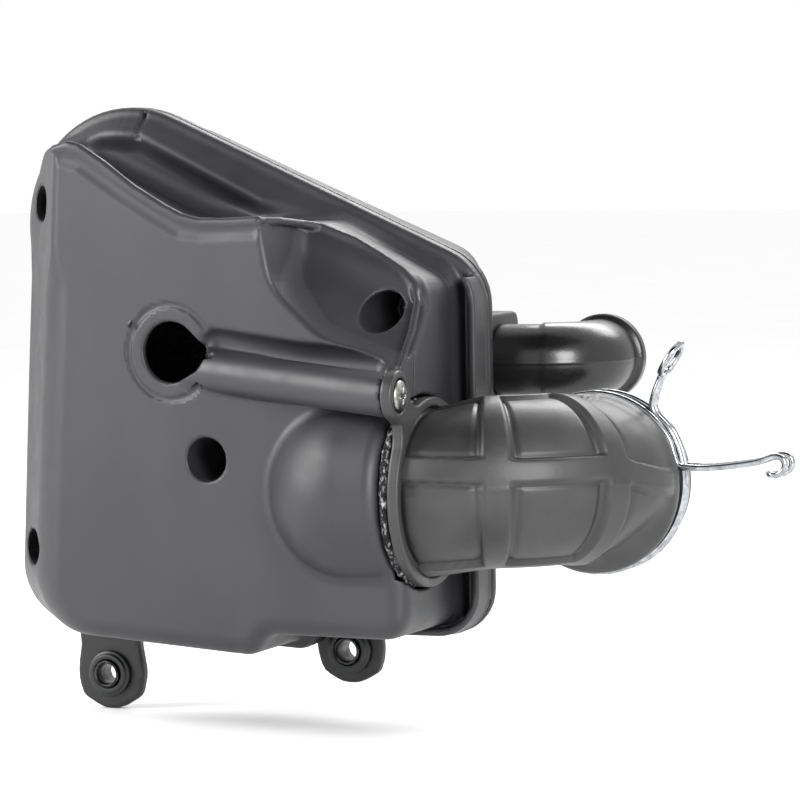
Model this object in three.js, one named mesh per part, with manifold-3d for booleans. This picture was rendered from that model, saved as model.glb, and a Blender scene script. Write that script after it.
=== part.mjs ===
// Air filter housing of a small scooter engine, in millimetres, +Z up.
// The two case halves meet on the plane y = 0. The outer case lies in front of it (-Y)
// and the inner case behind it (+Y). Heights are measured from the straight lower edge of
// the joint flange while the parts are made, and the whole assembly is then moved so that
// the origin is the centre of its box at its lowest point.

import * as THREE from 'three';
import { mergeVertices } from 'three/addons/utils/BufferGeometryUtils.js';
import Module from 'manifold-3d';

const wasm = await Module();
wasm.setup();

// ---------------------------------------------------------------- driving dimensions

const gap = 0.3;                 // clearance between touching pieces
const wall = 2.6;                // moulded wall of both case halves
const rimThickness = 5;          // flange of each half, measured along Y
const flangeWidth = 156;         // across the joint flange, X from -78 to +78
const sideX = flangeWidth / 2;

const face = { depth: 45.2, slope: 0.079 };     // front face: depth at x = 0, deeper to the right
const shelfDepth = 13;                          // low shelf round the front chamber
const innerDepth = 40;                          // back of the inner case

const port = { x: 66.5, y: -34, z: 47, bore: 22.5, bulge: 29.8, domeX: 52 };
const ring = { back: 69.8, front: 73.4, bore: 25.6, outer: 28.5 };
const ear = { y: -59, z: 77.5, radius: 7.5, hole: 2.5 };
const ridge = { radius: 6.5, startX: -2, startY: -40.7, startZ: 83.5 };

const outlet = { leadX: 60, bendX: 76, bendRadius: 34, tail: 19, body: 25, bore: 22 };
const collar = { radius: 27.4, seat: 25.9, bore: 23.2, grooveFrom: 5, grooveTo: 15 };
const hoseRibs = { places: [0.24, 0.68], rise: 1.3, halfTop: 2.6, halfFoot: 3.6 };

const inlet = { leadX: 67, bendX: 80, bendRadius: 17, tail: 9, y: 26, z: 82.5 };
const inletBoot = { body: 12, neck: 10.3, bore: 9.4, lip: 13.6 };
const inletBoss = { front: 11, back: 41, bottom: 68, top: 97.5, face: 72 };

const wire = { radius: 1, ring: 27.2, wide: 3.6, narrow: 1.3 };
const clamp = { x: 110, y: 9.5, z: 47, far: 215, split: 0.65 };
const wideEar = { to: 12, earAngle: 8, earReach: 60, lift: 0 };
const narrowEar = { to: 52, earAngle: 58, earReach: 50, lift: 1.4 };

// Screw tunnels: place and radius of each round well in the outer case.
const tunnels = [
  { name: 'upper_left', x: -63.8, z: 133.4, radius: 5.6 },
  { name: 'lower_left', x: -65, z: 26.3, radius: 5.6 },
  { name: 'upper_right', x: 57, z: 100.7, radius: 6.1 },
  { name: 'centre', x: 3.5, z: 56.3, radius: 6.7 },
];
const seatY = -4;                // the screw seats end here
const seatThickness = 3;
const postRadius = 4.5;
const screw = { head: 4.6, headHeight: 2.6, shank: 2.1, reach: 15, slotLength: 6, slotWidth: 1.2 };

const socket = { x: -8.6, z: 88.7, radius: 9.3, collarRadius: 14.4, front: -46.2, floor: -36 };
const socketSide = { shiftX: 8, shiftZ: -0.8, radius: 5 };   // smaller bore that makes it egg-shaped

// Slanted pocket of the face: its floor rises with x and z up to the level called front.
const pocketFloor = { level: -147.2, perX: 0.38, perZ: 0.88, front: -21 };
const caseFlare = { width: 29, from: 10, over: 62 };         // left wall leans out to the shelf
const backFlare = { width: 11, over: 60 };                   // right wall of the inner case
const farFront = -90;                                        // in front of every part of the case

// Ribs inside the outer case that press on the filter, at x and z.
const pressRibs = [[-30, 12], [40, 12], [-30, 138], [20, 130]];
const pressRib = { front: -12, back: 1.1, below: 12, above: 6 };
// Ledges inside the inner case behind the filter frame, at x and z.
const ledges = [[-70, 70], [-70, 100], [54, 30], [54, 55]];
const ledge = { front: 18.8, length: 7 };
const ribHalf = 1.5;             // half the thickness of the inside ribs

// Lugs that hang the housing from the engine, with their rubber grommets.
const lugFront = 8;
const lugBack = 12;
const lugs = [
  { side: 'left', x: -57.6, z: -18, radius: 11.5, top: [-70, -46], topZ: 9 },
  { side: 'right', x: 26.6, z: -7.5, radius: 10.5, top: [10, 38], topZ: 12 },
];
const grommet = { neck: 5.9, flange: 7.3, flangeHeight: 2.3, bore: 4.6 };
const sleeve = { outer: 4.3, bore: 3.4, front: 4.6, back: 15.4 };
const footStrip = { left: 8, right: 48, low: -10, top: 6 };  // thick foot under the inner case

// ---------------------------------------------------------------- materials

function finish(color, roughness, metalness) {
  return new THREE.MeshStandardMaterial({ color, roughness, metalness });
}
const materials = {
  casePlastic: finish(0x2e2f31, 0.55, 0),
  innerPlastic: finish(0x1d1e20, 0.6, 0),
  bootRubber: finish(0x232425, 0.62, 0),
  ringPlastic: finish(0x303133, 0.5, 0),
  grommetRubber: finish(0x18191a, 0.75, 0),
  sealFoam: finish(0x141414, 0.95, 0),
  sealant: finish(0x8d8f92, 0.55, 0.2),
  filterFoam: finish(0x3a5a86, 0.95, 0),
  zincSteel: finish(0xb9bcc0, 0.3, 1),
  springWire: finish(0xd3d6da, 0.18, 1),
};

// ---------------------------------------------------------------- making solids

// A closed geometry as a manifold solid that can be joined and cut.
function solid(geometry) {
  const bare = geometry.index ? geometry.toNonIndexed() : geometry.clone();
  bare.deleteAttribute('normal');
  bare.deleteAttribute('uv');
  const merged = mergeVertices(bare, 1e-4);
  const index = merged.index.array;
  const kept = [];
  for (let i = 0; i < index.length; i += 3) {
    const [a, b, c] = [index[i], index[i + 1], index[i + 2]];
    if (a !== b && b !== c && c !== a) kept.push(a, b, c);
  }
  return new wasm.Manifold(new wasm.Mesh({
    numProp: 3,
    vertProperties: new Float32Array(merged.attributes.position.array),
    triVerts: new Uint32Array(kept),
  }));
}

function geometryOf(body) {
  const mesh = body.getMesh();
  const geometry = new THREE.BufferGeometry();
  geometry.setAttribute('position', new THREE.BufferAttribute(mesh.vertProperties, 3));
  geometry.setIndex(new THREE.BufferAttribute(mesh.triVerts, 1));
  geometry.computeVertexNormals();
  return geometry;
}

function join(first, ...others) {
  return others.reduce((body, other) => body.add(other), first);
}

function cut(first, ...others) {
  return others.reduce((body, other) => body.subtract(other), first);
}

// Moves every vertex of a geometry: place(x, y, z) gives the new [x, y, z].
function reshape(geometry, place) {
  const position = geometry.attributes.position;
  for (let i = 0; i < position.count; i += 1) {
    position.setXYZ(i, ...place(position.getX(i), position.getY(i), position.getZ(i)));
  }
  return geometry;
}

// Corner of two edges that are both moved inwards by inset.
function movedCorner(before, corner, after, inset) {
  const edge = (a, b) => new THREE.Vector2(b.x - a.x, b.z - a.z).normalize();
  const first = edge(before, corner);
  const second = edge(corner, after);
  const turn = first.x * second.y - first.y * second.x;
  const along = first.x * second.x + first.y * second.y;
  const slide = inset * (1 - along) / turn;
  const x = corner.x - first.y * inset - first.x * slide;
  const z = corner.z + first.x * inset - first.y * slide;
  return { x, z, first, second, turn, along };
}

// Closed outline in X and Z from corners listed anticlockwise, each rounded by an arc.
function outline(corners, inset = 0) {
  const shape = new THREE.Shape();
  corners.forEach((corner, i) => {
    const before = corners[(i + corners.length - 1) % corners.length];
    const after = corners[(i + 1) % corners.length];
    const moved = movedCorner(before, corner, after, inset);
    const outward = moved.turn > 0;
    const radius = Math.max(0.5, outward ? corner.r - inset : corner.r + inset);
    const half = Math.acos(THREE.MathUtils.clamp(moved.along, -1, 1)) / 2;
    const back = radius * Math.tan(half);
    const startX = moved.x - moved.first.x * back;
    const startZ = moved.z - moved.first.y * back;
    const side = outward ? 1 : -1;
    const centreX = startX - moved.first.y * radius * side;
    const centreZ = startZ + moved.first.x * radius * side;
    const from = Math.atan2(startZ - centreZ, startX - centreX);
    const to = from + side * 2 * half;
    if (i === 0) shape.moveTo(startX, startZ);
    else shape.lineTo(startX, startZ);
    shape.absarc(centreX, centreZ, radius, from, to, !outward);
  });
  shape.closePath();
  return shape;
}

// Outline pushed along Y from front to back.
function slab(shape, front, back, segments = 4) {
  const geometry = new THREE.ExtrudeGeometry(shape, {
    depth: 1, steps: 1, bevelEnabled: false, curveSegments: segments,
  });
  return solid(reshape(geometry, (x, y, z) => [x, back - z * (back - front), y]));
}

// Chamber lofted along Y. Each ring has reach (0 at the joint, 1 at the far face) and tuck,
// the distance by which the rounded far edge has pulled in.
function chamber(shape, rings, depthAt, flareAt, centre) {
  const geometry = new THREE.ExtrudeGeometry(shape, {
    depth: 1, steps: rings.length - 1, bevelEnabled: false, curveSegments: 4,
  });
  const halfSize = 65;
  return reshape(geometry, (x, y, z) => {
    const { reach, tuck } = rings[Math.round(z * (rings.length - 1))];
    const shrink = 1 - tuck / halfSize;
    const wideX = x + flareAt(x) * (1 - reach);
    return [
      centre.x + (wideX - centre.x) * shrink,
      -depthAt(x, reach),
      centre.z + (y - centre.z) * shrink,
    ];
  });
}

// Round bar between two points.
function bar(from, to, radius, segments = 14) {
  const start = new THREE.Vector3(...from);
  const end = new THREE.Vector3(...to);
  const length = start.distanceTo(end);
  const geometry = new THREE.CylinderGeometry(radius, radius, length, segments);
  const turn = new THREE.Quaternion().setFromUnitVectors(
    new THREE.Vector3(0, 1, 0), end.clone().sub(start).normalize());
  geometry.applyQuaternion(turn);
  geometry.translate(...start.clone().add(end).multiplyScalar(0.5).toArray());
  return solid(geometry);
}

function block(min, max) {
  const size = max.map((value, i) => value - min[i]);
  const geometry = new THREE.BoxGeometry(...size);
  geometry.translate(...max.map((value, i) => (value + min[i]) / 2));
  return solid(geometry);
}

// Closed profile of [radius, distance] turned about the Y axis and moved to x, z.
function turned(profile, x, z, segments = 24) {
  const points = profile.map(([radius, along]) => new THREE.Vector2(radius, along));
  const geometry = new THREE.LatheGeometry([...points, points[0].clone()], segments);
  geometry.translate(x, 0, z);
  return solid(geometry);
}

// Hose profile of [radius, distance along the hose] bent along an elbow that leaves in +X
// and turns to +Y.
function bentHose(profile, path, segments) {
  const points = profile.map(([radius, along]) => new THREE.Vector2(radius, along));
  const geometry = new THREE.LatheGeometry([...points, points[0].clone()], segments);
  const lead = path.bendX - path.leadX;
  const arc = path.bendRadius * Math.PI / 2;
  return solid(reshape(geometry, (x, y, z) => {
    const angle = THREE.MathUtils.clamp((y - lead) / path.bendRadius, 0, Math.PI / 2);
    const before = Math.min(y, lead);
    const after = Math.max(y - lead - arc, 0);
    const radius = path.bendRadius - x;
    return [
      path.leadX + before + radius * Math.sin(angle),
      path.y + path.bendRadius - radius * Math.cos(angle) + after,
      path.z - z,
    ];
  }));
}

// ---------------------------------------------------------------- outlines

// Corners run anticlockwise seen from the front: lower left first.
const flangeCorners = [
  { x: -77, z: -0.5, r: 22 },
  { x: 17, z: -6.3, r: 6 },
  { x: 22, z: 0, r: 4 },
  { x: sideX, z: 0, r: 14 },
  { x: sideX, z: 113.1, r: 18 },
  { x: -77, z: 182.6, r: 36 },
];

const shelfCorners = [
  { x: -75, z: 1.5, r: 20 },
  { x: 16.5, z: -4.3, r: 6 },
  { x: 22, z: 2.5, r: 4 },
  { x: 70.5, z: 2.5, r: 10 },
  { x: 70.5, z: 112.6, r: 15 },
  { x: -75, z: 177, r: 34 },
];

const chamberCorners = [
  { x: -57.3, z: 1, r: 20 },
  { x: 16.5, z: -3.8, r: 6 },
  { x: 22, z: 3, r: 4 },
  { x: 69.2, z: 3, r: 8 },
  { x: 69.2, z: 109, r: 11 },
  { x: 33, z: 128.4, r: 14 },
  { x: -3.5, z: 128.2, r: 28 },
  { x: -42, z: 152.9, r: 8 },
  { x: -48, z: 151.2, r: 3 },
];

const innerCorners = [
  { x: -72, z: 4.5, r: 18 },
  { x: 16, z: -1.3, r: 6 },
  { x: 22, z: 5.5, r: 4 },
  { x: 61, z: 5.5, r: 9 },
  { x: 61, z: 114.8, r: 13 },
  { x: -72, z: 173.6, r: 31 },
];

// ---------------------------------------------------------------- outer case

const frontRings = [
  { reach: 0, tuck: 0 },
  { reach: 0.86, tuck: 0.2 },
  { reach: 0.94, tuck: 1.5 },
  { reach: 0.985, tuck: 3.6 },
  { reach: 1, tuck: 6.5 },
];
const chamberCentre = { x: 5, z: 66 };

function frontChamber(inset, start) {
  const depthAt = (x, reach) => start + reach * (face.depth + face.slope * x - inset - start);
  const flareAt = (x) => (
    -caseFlare.width * THREE.MathUtils.clamp((caseFlare.from - x) / caseFlare.over, 0, 1.1));
  const shape = outline(chamberCorners, inset);
  return solid(chamber(shape, frontRings, depthAt, flareAt, chamberCentre));
}

// Slanted pocket at the upper right of the face; everything in front of its floor is removed.
function pocket(offset) {
  const shape = new THREE.Shape();
  shape.moveTo(24 - offset, 150);
  shape.lineTo(31 - offset, 110);
  shape.lineTo(49, 91 - offset * 1.2);
  shape.lineTo(66, 82 - offset * 1.2);
  shape.lineTo(90, 82 - offset * 1.2);
  shape.lineTo(90, 150);
  shape.closePath();
  const geometry = new THREE.ExtrudeGeometry(shape, { depth: 1, bevelEnabled: false });
  const { level, perX, perZ, front } = pocketFloor;
  const floorAt = (x, z) => Math.min(level + perX * x + perZ * z, front) + offset * 1.4;
  return solid(reshape(geometry, (x, y, z) => [x, z > 0.5 ? farFront : floorAt(x, y), y]));
}

// Round swelling over the outlet port: a cylinder along X with a domed left end.
function portBulge(inset) {
  const radius = port.bulge - inset;
  const dome = new THREE.SphereGeometry(radius, 20, 10);
  dome.rotateZ(Math.PI / 2);
  dome.translate(port.domeX, port.y, port.z);
  const drum = bar([port.domeX, port.y, port.z], [port.x, port.y, port.z], radius, 20);
  return join(solid(dome), drum);
}

function outerEnvelope() {
  const rim = slab(outline(flangeCorners), -rimThickness, -gap / 2);
  const shelf = slab(outline(shelfCorners), -shelfDepth, -rimThickness + 0.5);
  const limit = slab(outline(shelfCorners), farFront, -rimThickness + 0.5);
  const front = frontChamber(0, rimThickness - 0.5).intersect(limit);
  const tube = bar([ridge.startX, ridge.startY, ridge.startZ], [69.4, ear.y, ear.z],
    ridge.radius, 16);
  const bulge = portBulge(0).intersect(limit);
  return cut(join(rim, shelf, front, bulge), pocket(0)).add(tube);
}

function outerCavity() {
  const mouth = slab(outline(shelfCorners, wall), -shelfDepth + wall, 1);
  const limit = slab(outline(shelfCorners, wall), farFront, 1);
  const front = frontChamber(wall, 0).intersect(limit);
  const bulge = portBulge(wall).intersect(block([0, farFront, 0], [port.x - wall, 1, 110]));
  return cut(join(mouth, front), pocket(wall)).add(bulge.intersect(limit));
}

function outerCase() {
  const envelope = outerEnvelope();
  const posts = tunnels.map(({ x, z, radius }) => (
    bar([x, farFront, z], [x, seatY, z], radius + 2).intersect(envelope)));
  const lip = bar([socket.x, socket.front, socket.z], [socket.x, -40, socket.z],
    socket.collarRadius, 24);
  const reach = join(
    slab(outline(shelfCorners, wall - 0.4), -20, -gap),
    slab(outline(innerCorners, wall + 0.6), -20, 2),
  );
  const ribs = pressRibs.map(([x, z]) => block(
    [x - ribHalf, pressRib.front, z - pressRib.below],
    [x + ribHalf, pressRib.back, z + pressRib.above],
  ).intersect(reach));
  const bores = tunnels.flatMap(({ x, z, radius }) => [
    bar([x, farFront, z], [x, seatY - seatThickness, z], radius),
    bar([x, -20, z], [x, 2, z], screw.shank + 0.5, 10),
  ]);
  const side = { x: socket.x + socketSide.shiftX, z: socket.z + socketSide.shiftZ };
  const mouth = join(
    bar([socket.x, -60, socket.z], [socket.x, socket.floor, socket.z], socket.radius, 20),
    bar([side.x, -60, side.z], [side.x, socket.floor, side.z], socketSide.radius, 12),
  );
  const farRight = 90;
  const portBore = bar([50, port.y, port.z], [farRight, port.y, port.z], port.bore, 28);
  const seatBore = port.bulge + 0.7;
  const portSeat = bar([port.x, port.y, port.z], [farRight, port.y, port.z], seatBore, 28);
  const pilot = bar([56, ear.y, ear.z], [farRight, ear.y, ear.z], ear.hole, 10);
  const earSeat = block([ring.back - gap, farFront, 55], [farRight, -40, 100]);
  const shell = join(cut(envelope, outerCavity()), ...posts, lip, ...ribs);
  return cut(shell, ...bores, mouth, portBore, portSeat, pilot, earSeat, sealGroove());
}

// ---------------------------------------------------------------- seal between the halves

function sealRing(inside, outside, halfHeight) {
  return cut(
    slab(outline(flangeCorners, outside), -halfHeight, halfHeight),
    slab(outline(flangeCorners, inside), -halfHeight - 1, halfHeight + 1),
  );
}

function sealGroove() {
  return sealRing(4.1, 1.5, 1.6);
}

function caseSeal() {
  return sealRing(3.8, 1.8, 1.3);
}

// ---------------------------------------------------------------- inner case

const backRings = [
  { reach: 0, tuck: 0 },
  { reach: 0.84, tuck: 1 },
  { reach: 0.94, tuck: 2.6 },
  { reach: 1, tuck: 6.5 },
];

function backChamber(inset, start) {
  const depthAt = (x, reach) => start + reach * (innerDepth - inset - start);
  const flareAt = (x) => backFlare.width * THREE.MathUtils.clamp(x / backFlare.over, 0, 1);
  const centre = { x: 0, z: 70 };
  const geometry = chamber(outline(innerCorners, inset), backRings, depthAt, flareAt, centre);
  return solid(geometry).mirror([0, 1, 0]);
}

function lugPlate({ x, z, radius, top, topZ }) {
  const shape = new THREE.Shape();
  shape.moveTo(top[1], topZ);
  shape.lineTo(top[0], topZ);
  shape.lineTo(x - radius, z + 2);
  shape.absarc(x, z, radius, Math.PI * 0.95, Math.PI * 2.05, false);
  shape.closePath();
  return slab(shape, lugFront, lugBack, 10);
}

// Squared boss that carries the inlet boot, as an outer block or its hollow.
function inletBox(inset, left, right) {
  return block(
    [left, inletBoss.front + inset, inletBoss.bottom + inset],
    [right, inletBoss.back - inset, inletBoss.top - inset],
  );
}

function innerCase() {
  const rim = slab(outline(flangeCorners), gap / 2, rimThickness);
  const wallSolid = backChamber(0, rimThickness - 0.5);
  const cavity = backChamber(wall, -1);
  const plates = lugs.map(lugPlate);
  const panel = slab(outline(innerCorners, 26), innerDepth - 1, innerDepth + 1.6);
  const posts = tunnels.map(({ x, z }) => (
    bar([x, seatY + gap, z], [x, innerDepth - 1, z], postRadius, 12)));
  const supports = ledges.map(([x, z]) => (
    block([x, ledge.front, z - ribHalf], [x + ledge.length, innerDepth - 1, z + ribHalf])));
  const pilots = tunnels.map(({ x, z }) => bar([x, -10, z], [x, 14, z], screw.shank + gap, 10));
  const inletHole = bar([60, inlet.y, inlet.z], [90, inlet.y, inlet.z], inletBoot.neck + gap, 18);
  const lugHoles = lugs.map(({ x, z }) => (
    bar([x, lugFront - 1, z], [x, lugBack + 1, z], grommet.neck + gap, 16)));
  const boss = inletBox(0, 45, inletBoss.face);
  const bossHollow = inletBox(wall, 44, inletBoss.face - wall);
  const strip = slab(outline(flangeCorners, 0.6), rimThickness - 1, lugBack)
    .intersect(block([footStrip.left, 0, footStrip.low], [footStrip.right, 20, footStrip.top]));
  const shell = cut(join(rim, wallSolid, panel, boss, strip, ...plates), cavity, bossHollow);
  const body = join(shell, ...posts, ...supports);
  return cut(body, ...pilots, inletHole, ...lugHoles, sealGroove());
}

// ---------------------------------------------------------------- filter

const filterInset = 3.4;
const filterFront = 1.5;
const filterBack = 15;
const grid = { pitch: 26, fromX: -48, toX: 48, fromZ: 24, toZ: 140, thickness: 3 };

function aroundPosts(front, back) {
  return tunnels.map(({ x, z }) => bar([x, front - 1, z], [x, back + 1, z], postRadius + 1, 12));
}

function filterElement() {
  const sheet = slab(outline(innerCorners, filterInset), filterFront, filterBack);
  return cut(sheet, ...aroundPosts(filterFront, filterBack));
}

function filterFrame() {
  const front = filterBack + gap;
  const back = front + grid.thickness;
  const border = cut(
    slab(outline(innerCorners, filterInset + 0.4), front, back),
    slab(outline(innerCorners, filterInset + 7), front - 1, back + 1),
  );
  const inside = slab(outline(innerCorners, filterInset + 6), front, back);
  const bars = [];
  for (let x = grid.fromX; x <= grid.toX; x += grid.pitch) {
    bars.push(block([x - ribHalf, front, -10], [x + ribHalf, back, 170]).intersect(inside));
  }
  for (let z = grid.fromZ; z <= grid.toZ; z += grid.pitch) {
    bars.push(block([-80, front, z - ribHalf], [80, back, z + ribHalf]).intersect(inside));
  }
  return cut(join(border, ...bars), ...aroundPosts(front, back));
}

// ---------------------------------------------------------------- outlet boot and its ring

function outletBoot() {
  const lead = outlet.bendX - outlet.leadX;
  const bendEnd = lead + outlet.bendRadius * Math.PI / 2;
  const end = bendEnd + outlet.tail;
  const lip = port.x + 1.5 - outlet.leadX;
  const { rise, halfTop, halfFoot } = hoseRibs;
  const ribs = hoseRibs.places.map((part) => lead + (bendEnd - lead) * part);
  const outside = [
    [port.bore - gap, 0],
    [port.bore - gap, lip],
    [ring.outer - 0.7, lip],
    [ring.outer - 0.7, ring.back - gap - outlet.leadX],
    [outlet.body, ring.back - gap - outlet.leadX],
  ];
  const bendSteps = 7;
  for (let i = 0; i <= bendSteps; i += 1) {
    const along = lead + (bendEnd - lead) * i / bendSteps;
    const near = ribs.some((centre) => Math.abs(centre - along) < halfFoot + 0.4);
    if (!near) outside.push([outlet.body, along]);
  }
  const ribProfile = [[-halfFoot, 0], [-halfTop, rise], [halfTop, rise], [halfFoot, 0]];
  ribs.forEach((centre) => {
    ribProfile.forEach(([shift, height]) => {
      outside.push([outlet.body + height, centre + shift]);
    });
  });
  outside.splice(5, Infinity, ...outside.slice(5).sort((a, b) => a[1] - b[1]));
  outside.push(
    [outlet.body, bendEnd + 2],
    [collar.radius, bendEnd + 2.5],
    [collar.radius, bendEnd + collar.grooveFrom - 0.7],
    [collar.seat, bendEnd + collar.grooveFrom - 0.6],
    [collar.seat, bendEnd + collar.grooveTo - 0.3],
    [collar.radius, bendEnd + collar.grooveTo - 0.2],
    [collar.radius, end - 0.8],
    [collar.radius - 0.8, end],
  );
  const inside = [[collar.bore, end], [collar.bore, bendEnd]];
  for (let i = bendSteps - 1; i >= 0; i -= 1) {
    inside.push([outlet.bore, lead + (bendEnd - lead) * i / bendSteps]);
  }
  inside.push([19.6, 6], [19.6, 0]);
  return bentHose([...outside, ...inside], { ...outlet, y: port.y, z: port.z }, 24);
}

// Ring with one screw ear that traps the boot's root lip.
function bootRing() {
  const disc = bar([ring.back, port.y, port.z], [ring.front, port.y, port.z], ring.outer, 28);
  const earDisc = bar([ring.back, ear.y, ear.z], [ring.front, ear.y, ear.z], ear.radius, 16);
  const web = new THREE.Shape();
  const toEar = Math.atan2(ear.z - port.z, ear.y - port.y);
  [[port, ring.outer - 1, 0.5], [ear, ear.radius, Math.PI / 2 - 0.2]].forEach(([end, r, spread], i) => {
    const angles = i === 0 ? [toEar - spread, toEar + spread] : [toEar + spread, toEar - spread];
    angles.forEach((angle, k) => {
      const y = end.y + r * Math.cos(angle);
      const z = end.z + r * Math.sin(angle);
      if (i === 0 && k === 0) web.moveTo(y, z);
      else web.lineTo(y, z);
    });
  });
  web.closePath();
  const plate = new THREE.ExtrudeGeometry(web, { depth: ring.front - ring.back, bevelEnabled: false });
  const webSolid = solid(reshape(plate, (y, z, depth) => [ring.back + depth, y, z]));
  return cut(
    join(disc, earDisc, webSolid),
    bar([ring.back - 5, port.y, port.z], [ring.front + 5, port.y, port.z], ring.bore, 28),
    bar([ring.back - 5, ear.y, ear.z], [ring.front + 5, ear.y, ear.z], ear.hole, 10),
  );
}

function bootGasket() {
  const back = port.x + gap;
  const front = port.x + 1.2;
  return cut(
    bar([back, port.y, port.z], [front, port.y, port.z], ring.outer + 0.4, 24),
    bar([back - 1, port.y, port.z], [front + 1, port.y, port.z], port.bore + 0.6, 24),
  );
}

// ---------------------------------------------------------------- inlet boot

function inletElbow() {
  const lead = inlet.bendX - inlet.leadX;
  const bendEnd = lead + inlet.bendRadius * Math.PI / 2;
  const end = bendEnd + inlet.tail;
  const outside = [
    [inletBoot.body - 0.4, 0],
    [inletBoot.body - 0.4, 2.1],
    [inletBoot.neck, 2.1],
    [inletBoot.neck, 5.3],
    [inletBoot.body, 5.3],
    [inletBoot.body, lead],
  ];
  const inside = [[10.8, end], [10.8, bendEnd + 3]];
  const bendSteps = 5;
  for (let i = 1; i <= bendSteps; i += 1) {
    outside.push([inletBoot.body, lead + (bendEnd - lead) * i / bendSteps]);
    inside.push([inletBoot.bore, lead + (bendEnd - lead) * (bendSteps - i) / bendSteps]);
  }
  outside.push([inletBoot.body, end - 4.5], [inletBoot.lip, end - 3.5], [inletBoot.lip, end]);
  inside.push([8.4, 5], [8.4, 0]);
  return bentHose([...outside, ...inside], inlet, 18);
}

// ---------------------------------------------------------------- wire clamp

// Point on the clamp at an angle about the collar's axis; side is along Y.
function clampPoint(angle, radius, side) {
  const turn = THREE.MathUtils.degToRad(angle);
  return new THREE.Vector3(
    clamp.x + radius * Math.cos(turn), clamp.y + side, clamp.z + radius * Math.sin(turn));
}

// One hairpin of wire: out along the collar, round the ear's loop and back.
function hairpin({ from, to, earAngle, earReach, spread, lift }) {
  const strand = [];
  const steps = 11;
  for (let i = 0; i <= steps; i += 1) {
    const part = i / steps;
    const angle = from + (to - from) * part;
    strand.push({ angle, radius: wire.ring + lift * Math.max(0, part - 0.7) / 0.3, part });
  }
  const bend = wire.ring + lift + 2.5;
  const turnIn = to + (earAngle - to) * 0.6;
  strand.push({ angle: turnIn, radius: bend + 1, part: 1 });
  strand.push({ angle: earAngle, radius: bend + 8, part: 1 });
  strand.push({ angle: earAngle, radius: earReach - 6, part: 1 });
  const points = strand.map(({ angle, radius, part }) => clampPoint(angle, radius, spread(part)));
  const width = spread(1);
  const loop = [-0.6, 0, 0.6].map((part) => (
    clampPoint(earAngle, earReach - Math.abs(part) * 2, -part * width)));
  const back = strand.map(({ angle, radius, part }) => clampPoint(angle, radius, -spread(part)));
  const curve = new THREE.CatmullRomCurve3([...points, ...loop, ...back.reverse()], false, 'centripetal');
  const section = new THREE.Shape();
  section.absarc(0, 0, wire.radius, 0, Math.PI * 2, false);
  const geometry = new THREE.ExtrudeGeometry(section, {
    steps: 62, curveSegments: 3, bevelEnabled: false, extrudePath: curve,
  });
  return solid(geometry);
}

function clampWideHalf() {
  return hairpin({ ...wideEar, from: clamp.far - clamp.split, spread: () => wire.wide });
}

function clampNarrowHalf() {
  const spread = (part) => THREE.MathUtils.lerp(
    wire.wide, wire.narrow, THREE.MathUtils.smoothstep(part, 0.35, 0.62));
  return hairpin({ ...narrowEar, from: clamp.far + clamp.split - 360, spread });
}

// ---------------------------------------------------------------- fasteners and lug fittings

// Pan-head screw along -X or +Y: a profile turned about Y, then placed.
function screwProfile(reach) {
  const head = screw.head;
  return [
    [0, 0],
    [head - 1, 0],
    [head, 1],
    [head, screw.headHeight],
    [screw.shank, screw.headHeight],
    [screw.shank, reach - 2],
    [0.6, reach],
    [0, reach],
  ].map(([radius, along]) => new THREE.Vector2(radius, along));
}

function caseScrew({ x, z }) {
  const geometry = new THREE.LatheGeometry(screwProfile(screw.reach), 12);
  geometry.translate(x, seatY - seatThickness - gap - screw.headHeight, z);
  return solid(geometry);
}

function bootScrew() {
  const geometry = new THREE.LatheGeometry(screwProfile(screw.reach), 12);
  geometry.rotateZ(Math.PI / 2);
  geometry.translate(ring.front + gap + screw.headHeight, ear.y, ear.z);
  const drive = block(
    [ring.front + 1.8, ear.y - screw.slotLength / 2, ear.z - screw.slotWidth / 2],
    [ring.front + 9, ear.y + screw.slotLength / 2, ear.z + screw.slotWidth / 2],
  );
  return solid(geometry).subtract(drive);
}

function lugGrommet({ x, z }) {
  const front = lugFront - gap - grommet.flangeHeight;
  const back = lugBack + gap + grommet.flangeHeight;
  return turned([
    [grommet.bore, front],
    [grommet.flange - 1, front],
    [grommet.flange, front + 1],
    [grommet.flange, lugFront - gap],
    [grommet.neck, lugFront - gap],
    [grommet.neck, lugBack + gap],
    [grommet.flange, lugBack + gap],
    [grommet.flange, back],
    [grommet.bore, back],
  ], x, z, 16);
}

function lugSleeve({ x, z }) {
  return turned([
    [sleeve.bore, sleeve.front],
    [sleeve.outer, sleeve.front],
    [sleeve.outer, sleeve.back],
    [sleeve.bore, sleeve.back],
  ], x, z, 14);
}

// ---------------------------------------------------------------- assembly

const housing = new THREE.Group();

function place(name, body, material) {
  const mesh = new THREE.Mesh(geometryOf(body), material);
  mesh.name = name;
  housing.add(mesh);
}

place('outer_case', outerCase(), materials.casePlastic);
place('inner_case', innerCase(), materials.innerPlastic);
place('case_seal', caseSeal(), materials.sealFoam);
place('filter_element', filterElement(), materials.filterFoam);
place('filter_frame', filterFrame(), materials.innerPlastic);
place('outlet_boot', outletBoot(), materials.bootRubber);
place('boot_ring', bootRing(), materials.ringPlastic);
place('boot_gasket', bootGasket(), materials.sealant);
place('boot_screw', bootScrew(), materials.zincSteel);
place('inlet_boot', inletElbow(), materials.bootRubber);
tunnels.forEach((tunnel) => {
  place(`case_screw_${tunnel.name}`, caseScrew(tunnel), materials.zincSteel);
});
lugs.forEach((lug) => {
  place(`lug_grommet_${lug.side}`, lugGrommet(lug), materials.grommetRubber);
  place(`lug_sleeve_${lug.side}`, lugSleeve(lug), materials.zincSteel);
});
place('clamp_wire_wide', clampWideHalf(), materials.springWire);
place('clamp_wire_narrow', clampNarrowHalf(), materials.springWire);

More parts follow.
